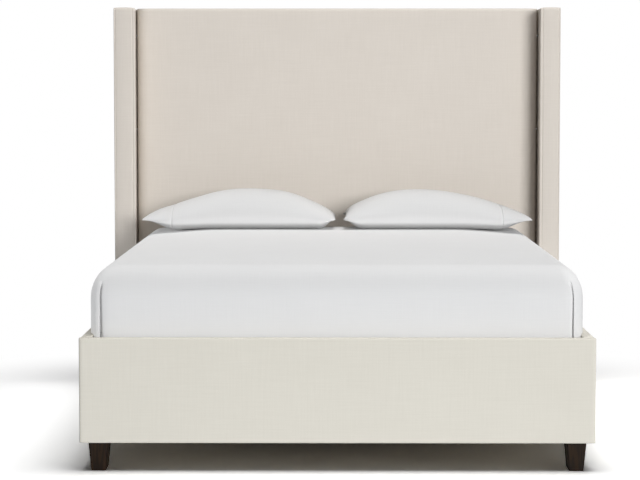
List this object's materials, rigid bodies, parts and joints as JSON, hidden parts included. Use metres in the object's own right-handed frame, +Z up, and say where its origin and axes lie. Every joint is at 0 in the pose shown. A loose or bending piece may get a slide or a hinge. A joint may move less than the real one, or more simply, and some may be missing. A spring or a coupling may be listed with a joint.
{
  "type": "upholstered storage bed",
  "caption": "Upholstered bed with a winged headboard and a slatted deck that lifts at the foot over a storage box, made up with sheet and pillows.",
  "frame": {"origin": "middle of the footprint, on the floor", "axes": "+Z up, +Y towards the headboard, +X across the bed"},
  "size_m": [1.784, 2.189, 1.524],
  "materials": {
    "linen": "off-white linen weave, matt",
    "leg_wood": "dark brown stain, satin lacquer",
    "timber": "planed softwood, unfinished",
    "plywood": "plywood, unfinished",
    "beech_slat": "laminated beech, clear lacquer",
    "foam": "upholstery foam, open cell",
    "back_lining": "black non-woven lining over board",
    "bright_steel": "zinc plated, satin",
    "black_steel": "black powder coat, satin",
    "deck_steel": "black powder coat, fine texture",
    "rod_steel": "ground and chromed",
    "black_plastic": "moulded, fine texture",
    "webbing": "woven webbing",
    "mattress_ticking": "knitted ticking",
    "white_cotton": "plain weave cotton, matt"
  },
  "bodies": {
    "base": {"footboard_board": "timber", "footboard_cover": "linen", "side_rail_board_left": "timber", "side_rail_board_right": "timber", "side_rail_cover_left": "linen", "side_rail_cover_right": "linen", "rail_foam": "foam", "headboard_frame": "timber", "headboard_plywood": "plywood", "headboard_foam": "foam", "headboard_cover": "linen", "headboard_back_cover": "back_lining", "wing_board_left": "timber", "wing_board_right": "timber", "wing_foam_left": "foam", "wing_foam_right": "foam", "wing_cover_left": "linen", "wing_cover_right": "linen", "frame_bolts": "bright_steel", "front_leg_left": "leg_wood", "front_leg_right": "leg_wood", "rear_leg_left": "leg_wood", "rear_leg_right": "leg_wood", "corner_blocks": "timber", "corner_brackets": "bright_steel", "frame_screws": "bright_steel", "floor_cleats": "timber", "cross_beams": "timber", "floor_panel_head": "plywood", "floor_panel_middle": "plywood", "floor_panel_foot": "plywood", "centre_feet": "black_plastic", "foot_rest_cleat": "timber", "lift_base_left": "black_steel", "lift_base_right": "black_steel", "base_pivot_pins": "black_steel"},
    "deck": {"deck_bracket_left": "black_steel", "deck_bracket_right": "black_steel", "deck_side_left": "deck_steel", "deck_side_right": "deck_steel", "deck_head_bar": "deck_steel", "deck_foot_bar": "deck_steel", "deck_centre_bar": "deck_steel", "slats_left": "beech_slat", "slats_right": "beech_slat", "slat_holders": "black_plastic", "mattress_stops": "bright_steel", "pull_strap": "webbing", "mattress": "mattress_ticking", "fitted_sheet": "white_cotton", "pillow_left": "white_cotton", "pillow_right": "white_cotton"},
    "lift_arm_left": {"lift_arm_left": "black_steel"},
    "guide_link_left": {"guide_link_left": "black_steel"},
    "strut_cylinder_left": {"strut_cylinder_left": "black_steel"},
    "strut_rod_left": {"strut_rod_left": "rod_steel"},
    "lift_arm_right": {"lift_arm_right": "black_steel"},
    "guide_link_right": {"guide_link_right": "black_steel"},
    "strut_cylinder_right": {"strut_cylinder_right": "black_steel"},
    "strut_rod_right": {"strut_rod_right": "rod_steel"}
  },
  "joints": [
    {"name": "lift_arm_left_pivot", "type": "hinge", "parent": "base", "child": "lift_arm_left", "pos_m": [-0.762, 0.4155, 0.274], "axis": [1, 0, 0], "range_deg": [0, 56.7]},
    {"name": "deck_pivot", "type": "hinge", "parent": "lift_arm_left", "child": "deck", "pos_m": [-0.762, 0.6075, 0.331], "axis": [-1, 0, 0], "range_deg": [0, 86.7]},
    {"name": "lift_arm_right_pivot", "type": "hinge", "parent": "base", "child": "lift_arm_right", "pos_m": [0.762, 0.4155, 0.274], "axis": [1, 0, 0], "range_deg": [0, 56.7]},
    {"name": "guide_link_left_pivot", "type": "hinge", "parent": "base", "child": "guide_link_left", "pos_m": [-0.757, 0.14397, 0.13804], "axis": [1, 0, 0], "range_deg": [0, 37.16]},
    {"name": "strut_left_swing", "type": "hinge", "parent": "base", "child": "strut_cylinder_left", "pos_m": [-0.742, 0.3795, 0.136], "axis": [1, 0, 0], "range_deg": [0, 10.5]},
    {"name": "strut_left_slide", "type": "slide", "parent": "strut_cylinder_left", "child": "strut_rod_left", "axis": [0, -0.712, 0.7022], "range_m": [0, 0.0968]},
    {"name": "guide_link_right_pivot", "type": "hinge", "parent": "base", "child": "guide_link_right", "pos_m": [0.757, 0.14397, 0.13804], "axis": [1, 0, 0], "range_deg": [0, 37.16]},
    {"name": "strut_right_swing", "type": "hinge", "parent": "base", "child": "strut_cylinder_right", "pos_m": [0.742, 0.3795, 0.136], "axis": [1, 0, 0], "range_deg": [0, 10.5]},
    {"name": "strut_right_slide", "type": "slide", "parent": "strut_cylinder_right", "child": "strut_rod_right", "axis": [0, -0.712, 0.7022], "range_m": [0, 0.0968]}
  ],
  "couplings": [
    {"joint": "deck_pivot", "follows": "lift_arm_left_pivot", "ratio": 1.5291},
    {"joint": "lift_arm_right_pivot", "follows": "lift_arm_left_pivot", "ratio": 1},
    {"joint": "guide_link_left_pivot", "follows": "lift_arm_left_pivot", "ratio": 0.65543},
    {"joint": "strut_left_swing", "follows": "lift_arm_left_pivot", "ratio": 0.18518},
    {"joint": "strut_left_slide", "follows": "lift_arm_left_pivot", "m_per_rad": 0.097805},
    {"joint": "guide_link_right_pivot", "follows": "lift_arm_left_pivot", "ratio": 0.65543},
    {"joint": "strut_right_swing", "follows": "lift_arm_left_pivot", "ratio": 0.18518},
    {"joint": "strut_right_slide", "follows": "lift_arm_left_pivot", "m_per_rad": 0.097805}
  ]
}
